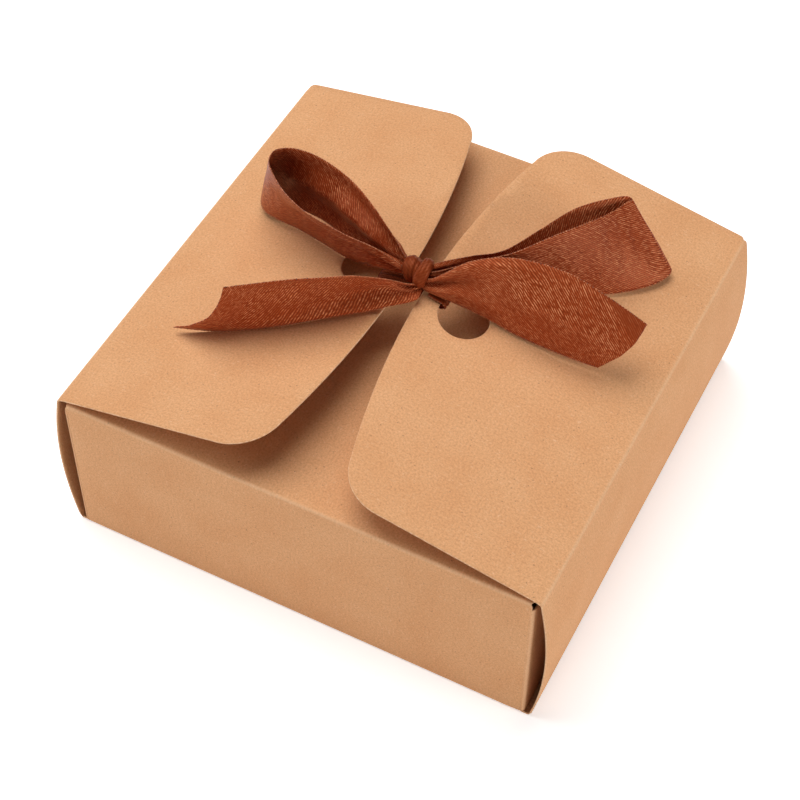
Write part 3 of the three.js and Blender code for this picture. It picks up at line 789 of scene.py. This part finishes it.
def facetLift(facets, share, v):
    # how far the cross-section stands off its chord at v: straight facets between slightly rounded ridges
    stations = np.array([row[0] for row in facets])
    ridges = np.array([row[1:] for row in facets], float)
    zero, one = np.zeros(len(share)), np.ones(len(share))
    knots = [(zero, zero)]
    for k in range(ridges.shape[1]):
        knots.append([np.interp(share, stations, ridges[:, k, axis]) for axis in (0, 1)])
    knots.append((one, zero))
    shifts = (-0.045, -0.02, 0.0, 0.02, 0.045)
    total = zero
    for shift in shifts:
        spot = min(max(v + shift, 0.0), 1.0)
        lift = zero
        for (v0, lift0), (v1, lift1) in zip(knots, knots[1:]):
            within = (spot >= v0) & (spot <= v1)
            lift = np.where(within, lift0 + (lift1 - lift0) * (spot - v0) / np.maximum(v1 - v0, 1e-6), lift)
        total = total + lift
    return total / len(shifts) * min(1, 12 * v, 12 * (1 - v))


def ribbonGrid(part):
    # rows of points across the ribbon between its two edges, bulged, folded and rippled off its chord
    rows = np.array(part["rows"], float) + (0, 0, rimHeight, 0, 0, rimHeight)
    low, high = smoothCurve(rows[:, :3], part["count"]), smoothCurve(rows[:, 3:], part["count"])
    middle, across = (low + high) / 2, high - low
    ahead = unit(np.gradient(middle, axis=0))
    normal = unit(np.cross(ahead, across))
    run = runningLength(middle)
    share = np.linspace(0, 1, part["count"])
    fromKnot = run if part["isTail"] else np.minimum(run, run[-1] - run)
    swell = part.get("bulge", 0) * np.sin(2 * math.pi * share) ** 2
    gather = ribbon["gatherDepth"] * np.clip(1 - fromKnot / ribbon["gatherReach"], 0, 1) ** 1.3
    ripple = ribbon["ripple"] * np.clip(fromKnot / 20, 0, 1)
    coarse, fine = (2 * math.pi * run / ribbon[key] for key in ("rippleEvery", "fineRippleEvery"))
    columns = ribbon["columns"]
    grid = np.empty((part["count"], columns + 1, 3))
    for j in range(columns + 1):
        v = j / columns
        rounded = math.sin(math.pi * v)
        hump = 1 - abs(2 * v - 1) ** ribbon["humpPower"]
        fold = gather * math.sin(2 * math.pi * ribbon["gatherFolds"] * v + 0.6) * rounded ** 0.4
        wave = ripple * (np.sin(coarse + 5 * v) + 0.4 * np.sin(fine - 9 * v)) * rounded
        lift = swell * hump + facetLift(part["facets"], share, v) + fold + wave
        grid[:, j] = low + across * v + normal * lift[:, None]
        grid[:, j] -= ahead * (part.get("scoop", 0) * hump * share ** 6)[:, None]
    return grid


def selvedgeBeads(line, inside, across, first):
    # a row of small six-sided pips along one edge: their points, flat places and faces
    points, uvs, faces = [], [], []
    lengths = runningLength(line)
    radius = ribbon["beadRadius"]
    for spot in np.arange(ribbon["beadEvery"] / 2, lengths[-1], ribbon["beadEvery"]):
        centre = pointAt(line, lengths, spot)
        ahead = unit(pointAt(line, lengths, spot + 0.3) - pointAt(line, lengths, spot - 0.3))
        inward = pointAt(inside, lengths, spot) - centre
        inward = unit(inward - ahead * (inward @ ahead))
        up = np.cross(ahead, inward)
        middle = centre + inward * ribbon["beadInset"]
        points += [middle + ahead * 1.5 * radius, middle - ahead * 1.5 * radius]
        points += [middle + (inward * math.cos(turn) + up * math.sin(turn)) * radius
                   for turn in np.arange(6) * math.pi / 3]
        uvs += [(across, spot)] * 8
        for k in range(6):
            this, following = first + 2 + k, first + 2 + (k + 1) % 6
            faces += [(first, this, following), (first + 1, following, this)]
        first += 8
    return points, uvs, faces


def ribbonPiece(name, grid, width, reverse=None, shear=0.0, cloth=satin):
    # a woven strip with beaded edges; the fourth argument says from where along and how far across the ribbon
    # its bent-away part takes the darker, duller copy of the satin as painted shade
    rows, columns = grid.shape[:2]
    normal = unit(np.cross(np.gradient(grid, axis=0), np.gradient(grid, axis=1)))
    run = np.concatenate([[0], np.cumsum(np.linalg.norm(np.diff(grid, axis=0), axis=2).mean(axis=1))])
    across = np.linspace(0, width, columns)
    uv = np.stack([np.tile(across, (rows, 1)), run[:, None] + shear * across], 2).reshape(-1, 2)
    edgeShape = np.ones(columns)
    edgeShape[0] = edgeShape[-1] = ribbon["edgeShare"]
    offset = normal * (ribbon["thickness"] / 2 * edgeShape)[None, :, None]
    points = [(grid + offset).reshape(-1, 3), (grid - offset).reshape(-1, 3)]
    uvs = [uv, uv]
    faces, kinds = [], []
    n = rows * columns
    for i in range(rows - 1):
        first, following = i * columns, (i + 1) * columns
        past = (i / (rows - 1) - reverse[0]) / (1 - reverse[0]) if reverse else 0
        for j in range(columns - 1):
            a, b, c, d = first + j, following + j, following + j + 1, first + j + 1
            faces += [(a, b, c, d), (a + n, d + n, c + n, b + n)]
            # the bent-away part takes the darker copy of the satin: painted shade
            turned = past > 0 and j / (columns - 1) > 1 + (reverse[1] - 1) * past
            kinds += [1 if turned else 0, 0]
        last, followingLast = following - 1, following + columns - 1
        faces += [(first, first + n, following + n, following),
                  (last, followingLast, followingLast + n, last + n)]
        kinds += [2, 2]
    for j in range(columns - 1):
        end = n - columns + j
        faces += [(j, j + 1, j + 1 + n, j + n), (end, end + n, end + 1 + n, end + 1)]
        kinds += [0, 0]
    count = 2 * n
    for j, inner in ((0, 1), (columns - 1, columns - 2)):
        beadPoints, beadUvs, beadFaces = selvedgeBeads(grid[:, j], grid[:, inner], across[j], count)
        points.append(beadPoints)
        uvs.append(beadUvs)
        faces += beadFaces
        kinds += [2] * len(beadFaces)
        count += len(beadPoints)
    piece = newPiece(name, np.vstack(points), np.vstack(uvs), faces, kinds, (cloth, satinShade, selvedge))
    piece.data.validate()
    return piece, float(run[-1])


# facets: at a share of the length, the ridges as (share of the width, mm off the chord)
ribbonParts = {
    "leftLoop": dict(
        rows=leftLoopRows, bulge=1.2, count=210, isTail=False, node="left_loop", held="folded",
        rests="leftWallAndWing", shear=0.3,
        facets=[(0.0, (0.2, 0), (0.6, 0), (0.85, 0)), (0.08, (0.2, -0.8), (0.6, 1.8), (0.86, -1.4)),
                (0.22, (0.2, -0.8), (0.6, 1.6), (0.86, -1.4)), (0.4, (0.2, 0), (0.6, 0), (0.85, 0)),
                (0.58, (0.25, 0), (0.5, 0), (0.78, 0)), (0.72, (0.28, -1.4), (0.56, 1.6), (0.82, -0.8)),
                (0.90, (0.28, -1.4), (0.55, 1.8), (0.80, -1.4)), (1.0, (0.28, 0), (0.5, 0), (0.75, 0))]),
    "rightLoop": dict(
        rows=rightLoopRows, bulge=1.2, count=200, isTail=False, node="right_loop", held="folded",
        rests="rightWallAndWing", shear=0.3,
        facets=[(0.0, (0.3, 0), (0.7, 0)), (0.5, (0.3, 0), (0.7, 0)), (0.62, (0.3, 0.7), (0.7, -0.8)),
                (0.8, (0.3, 1.5), (0.68, -2)), (0.93, (0.35, 1), (0.7, -1.6)), (1.0, (0.3, 0), (0.7, 0))]),
    "leftTail": dict(
        rows=leftTailRows, scoop=3.4, count=120, isTail=True, node="left_tail", held="laid",
        rests="leftWallAndWing", shear=-0.3,
        facets=[(0.0, (0.1, 0), (0.7, 0), (0.9, 0)), (0.12, (0.12, -2.2), (0.64, 2.4), (0.9, 1.2)),
                (0.3, (0.12, -2.4), (0.42, 2.6), (0.86, 1.6)), (0.55, (0.10, -1.6), (0.30, 1.2), (0.86, 1.4)),
                (0.8, (0.12, -0.8), (0.35, -0.4), (0.82, 0.2)),
                (1.0, (0.2, -2.1), (0.5, -3.4), (0.8, -2.1))]),
    "rightTail": dict(
        rows=rightTailRows, count=130, isTail=True, node="right_tail", held="laid",
        rests="rightWallAndWing", shear=0.3, reverse=(0.74, 0.68),
        facets=[(0.0, (0.3, 0), (0.6, 0), (0.85, 0)), (0.15, (0.3, 1.8), (0.68, -1.8), (0.88, 1.4)),
                (0.32, (0.25, 2.2), (0.62, 1.2), (0.88, 2.0)), (0.5, (0.2, 2.2), (0.50, 5.2), (0.9, 1.4)),
                (0.74, (0.2, 2.4), (0.47, 5.6), (0.97, 0.8)), (1.0, (0.2, 2.4), (0.42, 5.4), (0.69, 5.6))]),
}
for name, part in ribbonParts.items():
    piece, length = ribbonPiece(name, ribbonGrid(part), ribbon["width"], part.get("reverse"), part["shear"])
    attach(piece, "bow")
    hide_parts(part["node"])
    print(name, "ribbon length", round(length, 1), "mm")


def bandGrid():
    # the strap is the ribbon folded double lengthwise and gathered; it goes down one hole and up the other
    skew = ribbon["bandSkew"] / ribbon["bandHalfLength"]
    shift = ribbon["bandShift"]
    path = smoothCurve([(x, shift - skew * x, rimHeight + height) for x, height in bandPath], 150)
    ahead = np.gradient(path, axis=0)
    normal = unit(np.stack([-ahead[:, 2], np.zeros(len(path)), ahead[:, 0]], 1))
    columns = ribbon["bandColumns"]
    grid = np.empty((len(path), columns + 1, 3))
    for j in range(columns + 1):
        v = j / columns
        fold = math.sin(2 * math.pi * ribbon["bandFolds"] * v) * math.sin(math.pi * v) ** 0.3
        grid[:, j] = path + normal * 0.5 * ribbon["bandFoldDepth"] * fold
        grid[:, j, 1] += ribbon["bandHalfWidth"] * (2 * v - 1)
    return grid


def knotWrap():
    # the strap that runs from low in front over the top and down behind
    centre = np.array(knot["centre"]) + (0, 0, rimHeight)
    turns = np.radians(np.linspace(*knot["turn"], 90))
    section = smoothCurve(knot["section"], 57)
    split = knot["sectionFold"]
    grid = np.empty((len(turns), len(section), 3))
    for i, turn in enumerate(turns):
        up = 0.5 + 0.5 * math.sin(turn)
        halfWidth = between(knot["bottomHalfWidth"], knot["topHalfWidth"], up ** 0.8)
        shift = between(knot["bottomShift"], knot["topShift"], up)
        foldShare = between(*knot["foldShares"], up)
        for j, (across, inward) in enumerate(section):
            inward = inward + 0.5 * (2 * across - 1) ** 4
            inward += knot["creaseDepth"] * math.sin(2 * math.pi * knot["creases"] * across + 1.5 * turn)
            inward -= knot["waveDepth"] * math.sin(3.1 * turn + 9 * across)
            if across < split:
                across = across / split * foldShare
            else:
                across = between(foldShare, 1, (across - split) / (1 - split))
            grid[i, j] = centre + (shift + halfWidth * (2 * across - 1),
                                   -(knot["halfDepth"] - inward) * math.cos(turn),
                                   (knot["halfHeight"] - inward) * math.sin(turn))
    return grid


def knotCore(name):
    # the turns inside the knot, seen only between the folds: a closed, ridged body
    centre = np.array(knot["centre"]) + (knot["topShift"] / 2, 0, rimHeight)
    points, uvs, faces = [], [], []
    rings, steps = 24, 48
    for i in range(rings + 1):
        lean = math.pi * i / rings
        for k in range(steps):
            turn = 2 * math.pi * k / steps
            size = 0.78 - 0.06 * math.sin(9 * math.cos(lean) + 2 * math.sin(turn)) * math.sin(lean)
            points.append(centre + (knot["coreHalfWidth"] * size * math.cos(lean),
                                    knot["halfDepth"] * size * math.sin(lean) * math.cos(turn),
                                    knot["halfHeight"] * size * math.sin(lean) * math.sin(turn)))
            uvs.append((8 * i / rings, ribbon["width"] * k / steps))
    for i in range(rings):
        for k in range(steps):
            a, b = i * steps + k, i * steps + (k + 1) % steps
            faces.append((a, b, b + steps, a + steps))
    # in the darker satin: painted shade for the knot's inner turns
    return newPiece(name, np.array(points), np.array(uvs), faces, [0] * len(faces), [satinTightShaded])


for name, grid, node, slot, rests in (
        ("strapUnderKnot", bandGrid(), "ribbon_band", "satin_ribbon_shaded",
         ["leftWallAndWing", "rightWallAndWing"]),
        ("knotWrap", knotWrap(), "ribbon_knot", "satin_ribbon", ["strapUnderKnot"])):
    # strap and knot wrap in the darker satin: painted shade
    piece, length = ribbonPiece(name, grid, ribbon["doubled"], cloth=satinTightShaded)
    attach(piece, "bow")
    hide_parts(node)

core = knotCore("knotInnerTurns")
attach(core, "bow")
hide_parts("ribbon_knot")
print("ribbon made")

# fitted to the photo: where the camera stands, its two directions, and its lens on Blender's 36 mm film
cameraSetup = {
    "eye": (0.16659, -0.33848, 0.48308),
    "ahead": (-0.28247, 0.56228, -0.77721),
    "right": (0.890, 0.456, 0.006),
    "lens": 87.51, "shift": -0.00375, "nearest": 0.01,
}


def addCamera(setup):
    camera = newObject("camera", bpy.data.cameras.new("camera"))
    ahead, right = Vector(setup["ahead"]).normalized(), Vector(setup["right"])
    right = (right - ahead * right.dot(ahead)).normalized()
    turned = Matrix((right, right.cross(ahead), -ahead)).transposed()
    camera.matrix_world = Matrix.Translation(setup["eye"]) @ turned.to_4x4()
    camera.data.lens = setup["lens"]
    camera.data.shift_x = setup["shift"]
    camera.data.clip_start = setup["nearest"]
    bpy.context.scene.camera = camera


addCamera(cameraSetup)
bpy.context.scene.view_settings.view_transform = "Standard"

lightSetup = {
    "world": 0.08,  # strength of the even surround
    "lamps": {  # power, size and place of each soft box
        "keyLamp": (11.5, 1.0, (-0.32, 0.24, 1.1)),
        "leftLamp": (3.0, 0.6, (-1.0, -0.30, 0.62)),
        "rightLamp": (6.0, 0.5, (1.15, -0.05, 0.26)),
        "frontLamp": (3.9, 0.5, (0.0, -1.2, 0.16)),
    },
    "target": (0, 0, 0.03),
}
floorSetup = {
    "half": 0.8, "z": -0.0002, "white": 0.98,
    "glow": 0.48,  # seen by the camera only, so that the paper is as white as in the photo
}


def whiteLight(tree, kind, lit, seen):
    # white light of one strength for the scene and of another for the camera
    first, second = (addNode(tree, kind, None, {"Color": (1, 1, 1, 1), "Strength": strength}).outputs[0]
                     for strength in (lit, seen))
    isCamera = addNode(tree, "LightPath").outputs["Is Camera Ray"]
    return addNode(tree, "MixShader", None, {0: isCamera, 1: first, 2: second}).outputs["Shader"]


def whiteWorld():
    # the camera sees plain white; the box is lit by a weak even surround
    world = bpy.data.worlds.new("studio")
    bpy.context.scene.world = world
    world.use_nodes = True
    tree = world.node_tree
    tree.nodes.clear()
    surround = whiteLight(tree, "Background", lightSetup["world"], 1.0)
    addNode(tree, "OutputWorld", None, {"Surface": surround})


def areaLamp(name, power, size, place):
    lamp = bpy.data.lights.new(name, "AREA")
    lamp.energy = power
    lamp.size = size
    holder = newObject(name, lamp)
    holder.location = place
    direction = Vector(lightSetup["target"]) - Vector(place)
    holder.rotation_euler = direction.to_track_quat("-Z", "Y").to_euler()


def whitePaper(name):
    # matt white paper that glows a little for the camera alone
    material, tree, _ = newMaterial(name)
    matt = addNode(tree, "BsdfDiffuse", None, {"Color": [floorSetup["white"]] * 3 + [1]})
    glow = whiteLight(tree, "Emission", 0.0, floorSetup["glow"])
    total = addNode(tree, "AddShader", None, {0: matt.outputs["BSDF"], 1: glow})
    addNode(tree, "OutputMaterial", None, {"Surface": total.outputs["Shader"]})
    return material


whiteWorld()
for lampName, (power, size, spot) in lightSetup["lamps"].items():
    areaLamp(lampName, power, size, spot)

half = floorSetup["half"]
corners = [(half * x, half * y, floorSetup["z"]) for x, y in ((-1, -1), (1, -1), (1, 1), (-1, 1))]
floorMesh = bpy.data.meshes.new("floor")
floorMesh.from_pydata(corners, [], [(0, 1, 2, 3)])
floorMesh.materials.append(whitePaper("White paper sweep"))
floor = newObject("floor", floorMesh)
print("stage set")
